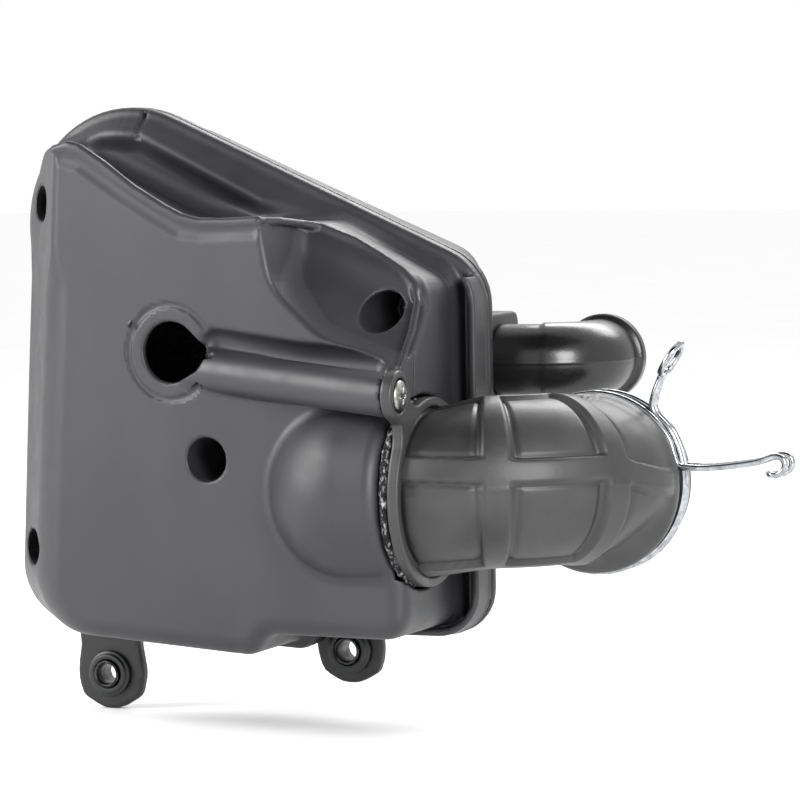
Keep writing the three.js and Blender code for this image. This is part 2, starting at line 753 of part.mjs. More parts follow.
const bounds = new THREE.Box3().setFromObject(housing, true);
const middle = bounds.getCenter(new THREE.Vector3());
housing.position.set(-middle.x, -middle.y, -bounds.min.z);

const assembly = new THREE.Group();
assembly.add(housing);

export default assembly;
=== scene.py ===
"""Air filter housing of a small scooter engine.

The moulded pieces are worked out as solids in space, each from its own short function, and
meshed by field_piece. The rubber elbows, wires and turned pieces are swept or turned.
Everything is written in case coordinates, in millimetres: the two case halves meet on the
plane y = 0, x runs across the case towards the elbows and z up it.
"""

import math

import bpy
import numpy as np
from mathutils import Matrix, Vector


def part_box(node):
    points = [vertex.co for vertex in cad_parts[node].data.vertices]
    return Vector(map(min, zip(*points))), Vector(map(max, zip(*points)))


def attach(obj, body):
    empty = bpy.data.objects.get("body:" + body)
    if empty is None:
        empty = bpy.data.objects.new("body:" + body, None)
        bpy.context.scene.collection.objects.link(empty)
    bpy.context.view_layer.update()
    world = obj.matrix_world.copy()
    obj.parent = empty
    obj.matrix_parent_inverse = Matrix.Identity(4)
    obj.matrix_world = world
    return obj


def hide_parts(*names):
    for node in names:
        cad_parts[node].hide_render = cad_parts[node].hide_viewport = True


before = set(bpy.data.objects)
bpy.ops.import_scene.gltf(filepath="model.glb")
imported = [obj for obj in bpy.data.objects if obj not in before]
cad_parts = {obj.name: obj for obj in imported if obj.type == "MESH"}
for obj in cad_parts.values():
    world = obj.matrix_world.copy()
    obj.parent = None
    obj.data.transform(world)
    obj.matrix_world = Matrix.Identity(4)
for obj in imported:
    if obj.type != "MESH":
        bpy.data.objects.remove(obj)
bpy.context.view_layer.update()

MM = 0.001

# ------------------------------------------------------------------ sizes, in millimetres

FLANGE_RIGHT = 78
RIM = 5
WALL = 2.6
SPLIT = 0.15
FACE_DEPTH = 45.2
FACE_SLOPE = 0.079
SHELF_DEPTH = 13
INNER_DEPTH = 40

PORT = {"x": 66.5, "y": -34, "z": 47, "bore": 22.5, "bulge": 29.8, "dome": 52}
RING = {"back": 69.8, "front": 73.4, "bore": 25.5, "outer": 28.5}
EAR = {"y": -59, "z": 77.5, "radius": 7.5, "hole": 2.5}
RIDGE_START = (-2, -40.7, 83.5)
TRENCH = [(7, -46.2, 91.4), (35.7, -48.4, 87.4), (60, -50.2, 86)]
RIDGE_RADIUS = 6.5
SOCKET = {"x": -8.6, "z": 88.7, "radius": 9.3, "ring": 14.4, "floor": -36}
SOCKET_SIDE = {"shift_x": 6.8, "shift_z": -1, "radius": 5.5}     # smaller end of its egg shape
TUNNELS = {
    "upper_left": (-63.8, 133.4, 5.6),
    "lower_left": (-65, 26.3, 5.6),
    "upper_right": (57, 100.7, 6.1),
    "centre": (3.5, 56.3, 6.7),
}
SEAT_Y = -4
SEAT_THICKNESS = 3
SCREW_HOLE = 2.6
POST_RADIUS = 4.5
POST_FRONT = SEAT_Y + 0.3
SEAL_GROOVE = (1.5, 4.1, 1.6)    # nearest and farthest from the flange's edge, and half height
SEAL_CORD = (1.9, 3.7, 1.25)
FILTER = {"inset": 3.6, "front": 1.7, "back": 14.8}
GRID = {"border": (3.9, 10.4), "front": 15.4, "back": 18.2, "step": 26, "half_bar": 1.5}
SCREW = {"head": 4.6, "height": 2.6, "shank": 2.1, "reach": 15}
SCREW_SUNK = 1.5                 # how far the ring's screw lies in its ear

OUTLET = {
    "lead": 60, "bend_x": 76, "bend": 34, "tail": 19, "y": -34, "z": 47, "body": 25, "bore": 22, "rise": 3,
}
OUTLET_RIB = {"height": 1.7, "half_ring": 2.8, "half_long": 3.8, "groove": 0.6, "groove_width": 1.3}
COLLAR = {"x": 110, "z": 47, "radius": 27.4, "seat": 25.9, "bore": 23.2, "groove": (5, 15)}
INLET = {"lead": 67, "bend_x": 80, "bend": 17, "tail": 9, "y": 26, "z": 82.5, "body": 12, "bore": 9.4}
INLET_BOSS = {"front": 11, "back": 41, "bottom": 68, "top": 97.5, "face": 72, "hole": 10.6}
LUGS = {
    "left": {"x": -57.6, "z": -18, "radius": 11.5, "top": (-70, -46), "top_z": 9},
    "right": {"x": 26.6, "z": -7.5, "radius": 10.5, "top": (10, 38), "top_z": 12},
}
LUG_PLATE = (8, 12)
WIRE = {"radius": 1, "ring": 27.2, "wide": 3.6, "narrow": 1.3, "far": 215, "split": 0.65, "y": 9.5}
WIDE_EAR = {"stop": 12, "angle": 8, "reach": 60, "lift": 0, "tip": -1.6}
NARROW_EAR = {"stop": 52, "angle": 58, "reach": 50, "lift": 1.4, "tip": 2}

# Corners of the outlines as (x, z, radius), anticlockwise from the lower left.
FLANGE = [(-77, -0.5, 22), (17, -6.3, 6), (22, 0, 4), (78, 0, 14), (78, 113.1, 18), (-77, 182.6, 36)]
SHELF = [
    (-76.3, 0, 21.5), (17, -5.8, 6), (22, 0.6, 4), (70.7, 0.6, 9), (70.7, 115.6, 13), (-76.3, 181.5, 35.5),
]
LIMIT = [(-75, 1.5, 20), (16.5, -4.3, 6), (22, 2.5, 4), (70.5, 2.5, 10), (70.5, 112.6, 15), (-75, 177, 34)]
CHAMBER = [
    (-57.3, 1, 20), (16.5, -3.8, 6), (22, 3, 4), (69.2, 3, 8), (69.2, 108.3, 11),
    (33, 127.6, 14), (-3.5, 127.4, 28), (-42, 152.1, 7), (-48, 150.6, 3),
]
INNER = [(-72, 4.5, 18), (16, -1.3, 6), (22, 5.5, 4), (61, 5.5, 9), (61, 114.8, 13), (-72, 173.6, 31)]

# The valley between the top wall of the chamber and the shelf, as (x, z, radius).
VALLEY = [
    (-60, 128, 3), (-30, 128, 3), (0, 110, 3), (40, 110, 3), (67, 98, 3), (67.4, 110.2, 3),
    (38, 125.4, 6), (31, 131, 6), (7.5, 131, 6), (-34.5, 153.2, 4), (-48, 154, 4), (-58, 150, 4),
]

# Case coordinates are found from pieces whose edges lie at known places.
lug_low, lug_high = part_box("lug_sleeve_left")
origin = Vector((
    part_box("outer_case")[1].x - FLANGE_RIGHT * MM,
    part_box("outlet_boot")[1].y - OUTLET["tail"] * MM,
    (lug_low.z + lug_high.z) / 2 - LUGS["left"]["z"] * MM,
))


def to_frame(points):
    """Case coordinates in millimetres as places in the frame, in metres."""
    return np.asarray(points, float) * MM + np.array(origin)


# ------------------------------------------------------------------ camera, floor and lights


def look_matrix(place, right, up, back):
    matrix = Matrix((right, up, back)).transposed().to_4x4()
    matrix.translation = place
    return matrix


def studio_camera():
    azimuth, elevation, roll = math.radians(23), math.radians(4), math.radians(0.9)
    right = Vector((math.cos(azimuth), math.sin(azimuth), 0))
    back = Vector((
        math.sin(azimuth) * math.cos(elevation),
        -math.cos(azimuth) * math.cos(elevation),
        math.sin(elevation),
    ))
    up = back.cross(right)
    middle = Vector(to_frame((0, 0, 80))) + (44.4 * right - 9.5 * up) * MM
    distance, width = 1.3, 0.25
    camera = bpy.data.objects.new("camera", bpy.data.cameras.new("camera"))
    camera.data.sensor_width = 36
    camera.data.lens = camera.data.sensor_width * distance / width
    camera.data.clip_start, camera.data.clip_end = 0.05, 20
    rolled_right = right * math.cos(roll) - up * math.sin(roll)
    rolled_up = up * math.cos(roll) + right * math.sin(roll)
    camera.matrix_world = look_matrix(middle + distance * back, rolled_right, rolled_up, back)
    bpy.context.scene.collection.objects.link(camera)
    bpy.context.scene.camera = camera


def soft_light(name, place, aim, size, power):
    lamp = bpy.data.lights.new(name, "AREA")
    lamp.shape = "RECTANGLE"
    lamp.size, lamp.size_y = size
    lamp.energy = power
    holder = bpy.data.objects.new(name, lamp)
    holder.location = place
    holder.rotation_euler = (Vector(aim) - Vector(place)).to_track_quat("-Z", "Y").to_euler()
    bpy.context.scene.collection.objects.link(holder)


def studio():
    world = bpy.data.worlds.new("studio")
    bpy.context.scene.world = world
    world.use_nodes = True
    sky = world.node_tree.nodes["Background"]
    sky.inputs["Color"].default_value = (1, 1, 1, 1)
    sky.inputs["Strength"].default_value = 1.0
    soft_light("key", (-0.62, -0.42, 0.42), (-0.06, 0, 0.13), (0.4, 0.5), 7)
    soft_light("side", (0.8, -0.7, 0.42), (0.06, 0, 0.08), (0.4, 0.5), 10)
    soft_light("back", (0.1, 0.75, 0.75), (0, 0, 0.15), (0.8, 0.3), 7)
    bpy.context.scene.view_settings.view_transform = "Standard"


# ------------------------------------------------------------------ materials


def linear(code):
    """An sRGB hex value as the linear colour that shaders take."""
    parts = [int(code[i:i + 2], 16) / 255 for i in (1, 3, 5)]
    return tuple(c / 12.92 if c <= 0.04045 else ((c + 0.055) / 1.055) ** 2.4 for c in parts) + (1,)


def add(tree, kind, values=None, links=None, **settings):
    """Adds a node with its settings, input values and links from other nodes' sockets."""
    node = tree.nodes.new(kind)
    for name, value in settings.items():
        setattr(node, name, value)
    for name, value in (values or {}).items():
        node.inputs[name].default_value = value
    for name, socket in (links or {}).items():
        tree.links.new(socket, node.inputs[name])
    return node


def shader_input(tree, name):
    return tree.nodes["Principled BSDF"].inputs[name.replace("_", " ").title().replace("Ior", "IOR")]


def new_material(name, **constants):
    """A material with its shader's constant sockets set, and its places in object space."""
    material = bpy.data.materials.new(name)
    material.use_nodes = True
    tree = material.node_tree
    for socket, value in constants.items():
        shader_input(tree, socket).default_value = value
    places = add(tree, "ShaderNodeTexCoord").outputs["Object"]
    return material, tree, places


def connect(tree, **sources):
    """Links the last sockets of a material's nodes to its shader."""
    for name, source in sources.items():
        tree.links.new(source, shader_input(tree, name))


def shades(tree, factor, dark, light, low=0.3, high=0.7):
    """Colour ramp from a dark to a light hex colour."""
    ramp = add(tree, "ShaderNodeValToRGB", links={"Fac": factor})
    ramp.color_ramp.elements[0].position = low
    ramp.color_ramp.elements[0].color = linear(dark)
    ramp.color_ramp.elements[1].position = high
    ramp.color_ramp.elements[1].color = linear(light)
    return ramp.outputs["Color"]


def pattern(tree, places, size_mm, detail=2.0, stretch=(1, 1, 1), roughness=0.5):
    """Noise whose blobs are about size_mm across, drawn out along the axes by stretch."""
    scaled = add(tree, "ShaderNodeMapping", {"Scale": [1 / s for s in stretch]}, {"Vector": places})
    values = {"Scale": 1 / (size_mm * MM), "Detail": detail, "Roughness": roughness}
    return add(tree, "ShaderNodeTexNoise", values, {"Vector": scaled.outputs[0]}).outputs["Fac"]


def spread(tree, value, low, high, out_low, out_high):
    values = {"From Min": low, "From Max": high, "To Min": out_low, "To Max": out_high}
    return add(tree, "ShaderNodeMapRange", values, {"Value": value}).outputs["Result"]


def bumps(tree, layers):
    """Bump nodes in a row, one for each (height socket, depth in mm, strength)."""
    normal = None
    for height, depth_mm, strength in layers:
        links = {"Height": height}
        if normal is not None:
            links["Normal"] = normal
        node = add(tree, "ShaderNodeBump", {"Distance": depth_mm * MM, "Strength": strength}, links)
        normal = node.outputs["Normal"]
    return normal


def moulded_polypropylene(name, dark, light, roughness):
    """Polypropylene moulded in a finely textured tool: a satin sheen with a fine grain, faint
    flow marks and a few hairline scuffs that shine."""
    material, tree, places = new_material(name, ior=1.49, specular_ior_level=0.5)
    flow = pattern(tree, places, 38, 3, (1, 1, 2.2))
    grain = pattern(tree, places, 0.45, 2)          # the tool's grit, drawn coarser than 0.2 mm
    cloud = pattern(tree, places, 9, 4, (1, 1, 1), 0.6)
    scuff = pattern(tree, places, 1.3, 5, (9, 1, 0.35), 0.75)
    marks = spread(tree, scuff, 0.66, 0.74, 0, 1)
    base = shades(tree, flow, dark, light)
    worn = add(tree, "ShaderNodeMix", {"B": linear(light)}, {"Factor": marks, "A": base}, data_type="RGBA")
    satin = spread(tree, cloud, 0.3, 0.7, roughness - 0.05, roughness + 0.06)
    polish = spread(tree, marks, 0, 1, 0, 0.08)
    gloss = add(tree, "ShaderNodeMath", links={0: satin, 1: polish}, operation="SUBTRACT")
    normal = bumps(tree, [(cloud, 0.25, 0.25), (grain, 0.05, 0.35), (scuff, 0.04, 0.25)])
    connect(tree, base_color=worn.outputs["Result"], roughness=gloss.outputs["Value"], normal=normal)
    return material


def moulded_rubber(name, dark, light, roughness):
    """Nitrile rubber moulded in a plain steel tool: smooth with a dull sheen, slightly uneven,
    with dusty patches where talc was not wiped off."""
    material, tree, places = new_material(name, ior=1.52, specular_ior_level=0.5)
    patch = pattern(tree, places, 17, 4)
    skin = pattern(tree, places, 1.1, 3, (1, 1, 1), 0.6)
    dust = pattern(tree, places, 0.6, 4, (1, 1, 1), 0.7)
    connect(
        tree,
        base_color=shades(tree, patch, dark, light),
        roughness=spread(tree, patch, 0.3, 0.7, roughness - 0.06, roughness + 0.08),
        normal=bumps(tree, [(patch, 0.8, 0.2), (skin, 0.08, 0.35), (dust, 0.03, 0.3)]))
    return material


def zinc_plate(name, dark, light, roughness, stretch, worn=1.0):
    """Bright zinc plated steel: clear reflections with fine drawing marks and dull spots."""
    material, tree, places = new_material(name, metallic=1.0)
    spots = pattern(tree, places, 2.2, 4, (1, 1, 1), 0.6)
    drawn = pattern(tree, places, 0.35, 3, stretch)
    connect(
        tree,
        base_color=shades(tree, spots, dark, light, 0.35, 0.6),
        roughness=spread(tree, spots, 0.3, 0.7, roughness + 0.12, roughness),
        normal=bumps(tree, [(spots, 0.12 * worn, 0.25), (drawn, 0.02, 0.2)]))
    return material


def dried_sealant(name, dark, light):
    """Grey sealing compound squeezed out and dried: a lumpy skin, silvery where it is thick and
    black where it has torn away."""
    material, tree, places = new_material(name, ior=1.45, metallic=0.35)
    lumps = pattern(tree, places, 1.6, 6, (1, 1, 1.6), 0.7)
    connect(
        tree,
        base_color=shades(tree, lumps, dark, light, 0.5, 0.66),
        roughness=spread(tree, lumps, 0.35, 0.65, 0.75, 0.32),
        normal=bumps(tree, [(lumps, 0.9, 0.8)]))
    return material


def filter_foam(name, dark, light):
    """Oiled open-cell polyurethane foam: dull, with cells about 1.2 mm wide."""
    material, tree, places = new_material(name, roughness=0.9, ior=1.45)
    cells = add(tree, "ShaderNodeTexVoronoi", {"Scale": 1 / (1.2 * MM)}, {"Vector": places})
    depth = cells.outputs["Distance"]
    connect(
        tree,
        base_color=shades(tree, depth, light, dark, 0.1, 0.8),
        normal=bumps(tree, [(depth, 0.6, 0.9)]))
    return material


case_plastic = moulded_polypropylene("moulded_case_polypropylene", "#27272a", "#303032", 0.45)
inner_plastic = moulded_polypropylene("moulded_black_polypropylene", "#161617", "#1e1e1f", 0.46)
ring_plastic = moulded_polypropylene("moulded_ring_polypropylene", "#2a2a2b", "#363637", 0.42)
outlet_rubber = moulded_rubber("moulded_outlet_rubber", "#242425", "#363637", 0.42)
inlet_rubber = moulded_rubber("moulded_inlet_rubber", "#131314", "#1f1f20", 0.26)
grommet_rubber = moulded_rubber("moulded_grommet_rubber", "#161718", "#1f2021", 0.5)
seal_rubber = moulded_rubber("cellular_seal_rubber", "#101112", "#1a1b1c", 0.8)
sealant = dried_sealant("dried_grey_sealant", "#0c0c0d", "#b4b6b8")
foam = filter_foam("oiled_polyurethane_foam", "#0b0b0c", "#242527")
screw_zinc = zinc_plate("zinc_plated_screw_steel", "#3f3f3d", "#b4b4b1", 0.3, (1, 1, 1))
sleeve_steel = zinc_plate("phosphated_tube_steel", "#161617", "#48484a", 0.3, (1, 6, 1))
wire_zinc = zinc_plate("zinc_plated_spring_wire", "#8c8e91", "#b6b8ba", 0.1, (1, 1, 4), 0.15)


# ------------------------------------------------------------------ making meshes


def outward(points, faces):
    """The same faces, turned round if together they face into the solid."""
    a, b, c, d = (points[faces[:, i]] for i in range(4))
    volume = np.einsum("ij,ij->", np.cross(c - a, d - b), a + b + c + d)
    return faces if volume > 0 else faces[:, ::-1]


def make_piece(name, points, faces, material, body, slot, replaced, normals=None):
    """A smooth-shaded mesh from case coordinates, riding on a body in place of a CAD node."""
    faces = [outward(points, face) if len(face[0]) == 4 else face for face in faces]
    mesh = bpy.data.meshes.new(name)
    corners = np.concatenate([np.asarray(face, np.int32).ravel() for face in faces])
    sizes = np.concatenate([np.full(len(face), len(face[0]), np.int32) for face in faces])
    mesh.vertices.add(len(points))
    mesh.vertices.foreach_set("co", to_frame(points).astype(np.float32).ravel())
    mesh.loops.add(len(corners))
    mesh.loops.foreach_set("vertex_index", corners)
    mesh.polygons.add(len(sizes))
    mesh.polygons.foreach_set("loop_start", np.concatenate([[0], np.cumsum(sizes)[:-1]]).astype(np.int32))
    mesh.polygons.foreach_set("loop_total", sizes)
    mesh.polygons.foreach_set("use_smooth", np.ones(len(sizes), bool))
    mesh.update(calc_edges=True)
    mesh.validate()
    if normals is not None:
        mesh.normals_split_custom_set_from_vertices(normals)
    mesh.materials.append(material)
    piece = bpy.data.objects.new(name, mesh)
    bpy.context.scene.collection.objects.link(piece)
    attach(piece, body)
    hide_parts(replaced)
    return piece


def round_union(a, b, radius):
    """Two solids joined, with a fillet where they meet."""
    u, v = np.maximum(radius - a, 0), np.maximum(radius - b, 0)
    return np.maximum(radius, np.minimum(a, b)) - np.sqrt(u * u + v * v)


def round_overlap(a, b, radius):
    """What two solids share, with rounded edges."""
    u, v = np.maximum(radius + a, 0), np.maximum(radius + b, 0)
    return np.minimum(-radius, np.maximum(a, b)) + np.sqrt(u * u + v * v)


def round_cut(a, b, radius):
    return round_overlap(a, -b, radius)


def smooth_step(value, low, high):
    share = np.clip((value - low) / (high - low), 0, 1)
    return share * share * (3 - 2 * share)


def rounded_outline(corners):
    """Points round a closed outline of (x, z, radius) corners, each rounded by an arc."""
    points = []
    count = len(corners)
    for i, (x, z, radius) in enumerate(corners):
        corner = np.array((x, z), float)
        before = np.array(corners[i - 1][:2], float) - corner
        after = np.array(corners[(i + 1) % count][:2], float) - corner
        before /= np.linalg.norm(before)
        after /= np.linalg.norm(after)
        half = math.acos(np.clip(before @ after, -1, 1)) / 2
        centre = corner + (before + after) / np.linalg.norm(before + after) * radius / math.sin(half)
        start = corner + before * radius / math.tan(half) - centre
        end = corner + after * radius / math.tan(half) - centre
        turn = math.atan2(start[0] * end[1] - start[1] * end[0], start @ end)
        steps = max(2, int(abs(turn) * math.sqrt(radius) * 1.6) + 1)
        for k in range(steps + 1):
            angle = turn * k / steps
            c, s = math.cos(angle), math.sin(angle)
            points.append(centre + np.array((c * start[0] - s * start[1], s * start[0] + c * start[1])))
    return np.array(points)


def outline_field(points, x, z):
    """Distance from a closed outline, below zero inside it."""
    nearest = np.full(np.broadcast(x, z).shape, 1e9)
    inside = np.zeros(nearest.shape, bool)
    for (ax, az), (bx, bz) in zip(points, np.roll(points, -1, 0)):
        ex, ez = bx - ax, bz - az
        length = ex * ex + ez * ez
        if length < 1e-9:
            continue
        wx, wz = x - ax, z - az
        share = np.clip((wx * ex + wz * ez) / length, 0, 1)
        dx, dz = wx - ex * share, wz - ez * share
        nearest = np.minimum(nearest, dx * dx + dz * dz)
        if az != bz:
            inside ^= ((az <= z) != (bz <= z)) & (wx < ex * wz / ez)
    return np.where(inside, -1, 1) * np.sqrt(nearest)


def off_axis(u, v, centre_u, centre_v):
    """Distance from an axis that runs square to u and v."""
    return np.sqrt((u - centre_u) ** 2 + (v - centre_v) ** 2)


def bar_field(start, end, radius, x, y, z):
    """Round-ended bar between two points."""
    a, e = np.array(start, float), np.array(end, float) - np.array(start, float)
    wx, wy, wz = x - a[0], y - a[1], z - a[2]
    share = np.clip((wx * e[0] + wy * e[1] + wz * e[2]) / (e @ e), 0, 1)
    return np.sqrt((wx - e[0] * share) ** 2 + (wy - e[1] * share) ** 2 + (wz - e[2] * share) ** 2) - radius


def chain_field(points, radius, x, y, z):
    """Bar that follows several points."""
    fields = [bar_field(a, b, radius, x, y, z) for a, b in zip(points, points[1:])]
    return np.minimum.reduce(fields)


def layer(value, low, high):
    """Solid where value lies between low and high."""
    return np.maximum(low - value, value - high)


def box_field(low, high, x, y, z):
    return np.maximum.reduce(np.broadcast_arrays(
        layer(x, low[0], high[0]), layer(y, low[1], high[1]), layer(z, low[2], high[2])))


def field_points(field, low, high, pitch):
    """Mesh of the surface where field(x, y, z) is zero, by one point in each crossed cell."""
    counts = [int(math.ceil((h - l) / pitch)) + 1 for l, h in zip(low, high)]
    axes = [l + pitch * np.arange(n) for l, n in zip(low, counts)]
    x, y, z = axes[0][:, None, None], axes[1][None, :, None], axes[2][None, None, :]
    values = np.array(np.broadcast_to(field(x, y, z), counts), np.float32)
    cells = np.array([n - 1 for n in counts])
    total = int(np.prod(cells))
    strides = np.array((cells[1] * cells[2], cells[2], 1))
    hits = np.zeros(total)
    sums = np.zeros((3, total))
    rings = []
    for axis in range(3):
        one, two = (axis + 1) % 3, (axis + 2) % 3
        lower = values[tuple(slice(0, -1) if i == axis else slice(None) for i in range(3))]
        upper = values[tuple(slice(1, None) if i == axis else slice(None) for i in range(3))]
        index = np.argwhere((lower < 0) != (upper < 0))
        a, b = lower[tuple(index.T)], upper[tuple(index.T)]
        places = index.astype(float)
        places[:, axis] += a / (a - b)
        inner = ((index[:, [one, two]] > 0) & (index[:, [one, two]] < cells[[one, two]])).all(1)
        index, places, a = index[inner], places[inner], a[inner]
        ring = []
        for step_one, step_two in ((-1, -1), (0, -1), (0, 0), (-1, 0)):
            cell = index.copy()
            cell[:, one] += step_one
            cell[:, two] += step_two
            flat = cell @ strides
            hits += np.bincount(flat, minlength=total)
            for i in range(3):
                sums[i] += np.bincount(flat, places[:, i], total)
            ring.append(flat)
        ring = np.stack(ring, 1)
        rings.append(np.where((a < 0)[:, None], ring, ring[:, ::-1]))
    used = np.flatnonzero(hits)
    number = np.full(total, -1, np.int64)
    number[used] = np.arange(len(used))
    points = (sums[:, used] / hits[used]).T * pitch + np.array(low)
    return points, number[np.concatenate(rings)]


def settle(field, points, pitch, rounds=4):
    """Moves points onto the surface along the field's slope, by short steps."""
    step = 0.02 * pitch
    for _ in range(rounds):
        value = field(*points.T)
        slope = np.stack([(field(*(points + step * axis).T) - value) / step for axis in np.eye(3)], 1)
        move = slope * (value / np.maximum((slope ** 2).sum(1), 0.05))[:, None]
        length = np.linalg.norm(move, axis=1, keepdims=True)
        points = points - move * np.minimum(1, 0.35 * pitch / np.maximum(length, 1e-9))
    return points


def field_piece(name, field, low, high, pitch, *rest):
    """A piece made from a field, shaded with the field's own slope."""
    points, faces = field_points(field, low, high, pitch)
    points = settle(field, points, pitch)
    reach = 0.12 * np.eye(3)
    slope = np.stack([field(*(points + step).T) - field(*(points - step).T) for step in reach], 1)
    normals = slope / np.maximum(np.linalg.norm(slope, axis=1, keepdims=True), 1e-9)
    return make_piece(name, points, [faces], *rest, normals=normals)


def swept(rings, closed_along=True):
    """Faces over a grid of points, rings by sides, closed round each ring."""
    count, sides = rings.shape[:2]
    index = np.arange(count * sides).reshape(count, sides)
    after = np.roll(index, -1, 0) if closed_along else index[1:]
    here = index if closed_along else index[:-1]
    faces = np.stack([here, np.roll(here, -1, 1), np.roll(after, -1, 1), after], -1)
    return rings.reshape(-1, 3), faces.reshape(-1, 4)


def turned(profile, sides, place):
    """Closed profile of (radius, along) turned about an axis; place puts a point in the case."""
    angles = np.arange(sides) * 2 * math.pi / sides
    rings = [[place(r * math.cos(a), r * math.sin(a), s) for a in angles] for r, s in profile]
    return swept(np.array(rings, float))


# ------------------------------------------------------------------ outer case

flange_points = rounded_outline(FLANGE)
shelf_points = rounded_outline(SHELF)
limit_points = rounded_outline(LIMIT)
chamber_points = rounded_outline(CHAMBER)
inner_points = rounded_outline(INNER)
valley_points = rounded_outline(VALLEY)


def face_depth(x):
    return FACE_DEPTH + FACE_SLOPE * x


def chamber_field(x, y, z):
    """The deep front chamber: its left wall leans out and its top wall slopes to the valley."""
    behind = 1 - np.clip(-y / face_depth(x), 0, 1)
    left, right = 0.51 * behind, 0.03 * behind
    across = np.where(x < 10, (x + 10 * left) / (1 + left), (x + 10 * right) / (1 + right) + 2 * behind - 1.5)
    across = np.where(x < 10, across, np.minimum(across, x))
    side = outline_field(chamber_points, across, z)
    edge = 6.5 - 4.6 * smooth_step(z, 105, 122)
    front = round_overlap(side, -y - face_depth(x), edge)
    return round_overlap(front, outline_field(limit_points, x, z), 2)


def pocket_floor(x, z):
    return np.minimum(-147.2 + 0.38 * x + 0.88 * z, -21)


POCKET = rounded_outline([
    (21, 160, 2), (23.2, 127, 6), (26.5, 109.5, 18), (41, 94, 14), (64.5, 84.8, 6), (100, 84, 2),
    (100, 160, 2),
])


def pocket_field(x, y, z):
    """Space in front of the slanted pocket floor at the upper right."""
    walls = outline_field(POCKET, x, z)
    level = pocket_floor(x, z)
    dip = 3 * np.clip(-walls / 4.5, 0, 1) * (1 - smooth_step(level, -34, -25))
    floor = (y - level - dip) / 1.36
    walls = walls + 0.19 * (face_depth(x) - np.clip(-y, 20, 60))
    return round_overlap(walls, floor, 3)


def bulge_field(x, y, z):
    """Swelling over the port: a drum along x with a domed left end."""
    from_axis = off_axis(y, z, PORT["y"], PORT["z"])
    past = np.minimum(x - PORT["dome"], 0)
    return round_overlap(np.sqrt(from_axis ** 2 + past ** 2) - PORT["bulge"], x - PORT["x"], 4.5)


def shelf_field(x, y, z):
    """Low shelf along the flange, higher towards its rolled inner edge."""
    from_edge = -outline_field(flange_points, x, z)
    height = RIM - 1 + (SHELF_DEPTH - RIM + 1) * smooth_step(from_edge, 0, 12)
    block = round_overlap(outline_field(shelf_points, x, z), (-y - height) * 0.85, 3)
    valley = round_overlap(outline_field(valley_points, x, z) + 0.35 * (SHELF_DEPTH + y), y + 7.5, 3)
    return round_cut(block, valley, 5)


# Lines over the face, as (x, z) or as whole places.
BEAD = [
    (-48.6, 150.4), (-43.8, 151.7), (-40, 150.8), (-31.5, 145.6), (-21, 138.2), (-10.5, 132.3), (-4.3, 129.4),
    (2, 128), (12.4, 128), (22, 128.4),
]
POCKET_BEAD = [
    (22, -44.6, 128.4), (25.8, -38, 128.2), (29, -28, 127), (33, -23.5, 126), (44.1, -23, 121.8),
    (52.2, -23, 117.3), (60.2, -24, 112.6), (64.6, -26, 108.2), (67.5, -31, 103.5), (68.6, -38, 95.5),
    (68.8, -48, 84.9),
]
GROOVE = [(-46, 148), (-39.5, 146.3), (-26, 137.8), (-12.6, 130.1), (-5, 126.2), (2, 125.1), (20.5, 125.6)]


def on_face(line, behind):
    """Places over the face for a line given as (x, z), a little behind the surface."""
    return [(x, behind - face_depth(x), z) for x, z in line]


def case_envelope(x, y, z):
    """Outside of the outer case, before holes."""
    body = round_cut(chamber_field(x, y, z), pocket_field(x, y, z), 1.8)
    body = round_cut(body, chain_field(on_face(GROOVE, -1.6), 2.4, x, y, z), 1.4)
    body = round_union(body, chain_field(on_face(BEAD, 1.4), 1.5, x, y, z), 1)
    body = round_union(body, chain_field(POCKET_BEAD, 1.2, x, y, z), 1.2)
    body = round_union(body, bulge_field(x, y, z), 2.2)
    ear_place = (69.4, EAR["y"], EAR["z"])
    body = round_cut(body, chain_field(TRENCH, 4.5, x, y, z), 1.6)
    ridge = bar_field(RIDGE_START, ear_place, RIDGE_RADIUS, x, y, z)
    body = round_union(body, ridge, 1.2)
    gate_mark = bar_field((-21.7, -43.2, 96.6), (-21.7, -44.2, 96.6), 1.1, x, y, z)
    body = round_union(body, gate_mark, 0.5)
    return round_union(body, shelf_field(x, y, z), 1.6 + 4.4 * smooth_step(z, 114, 126))


def rim_field(x, y, z, front):
    """Flange of one half; front is its far face along y, below zero for the outer case."""
    outline = outline_field(flange_points, x, z)
    channel = 2.6 * smooth_step(x, 70.2, 71.4) * (1 - smooth_step(z, 104, 112)) if front < 0 else 0
    return round_overlap(outline, math.copysign(1, front) * y - abs(front) + channel, 2.2)


def lip_field(x, y, z):
    """Narrow raised lip along the flange's right side."""
    from_edge = -outline_field(flange_points, x, z)
    lip = round_overlap(layer(from_edge, 0.3, 2.5), layer(y, -11, -1), 0.8)
    return np.maximum(lip, np.maximum(48 - x, z - 110))


def seal_space(near, far, half, x, y, z):
    """Ring between two distances in from the flange's edge, across the joint."""
    return round_overlap(layer(-outline_field(flange_points, x, z), near, far), np.abs(y) - half, 0.6)


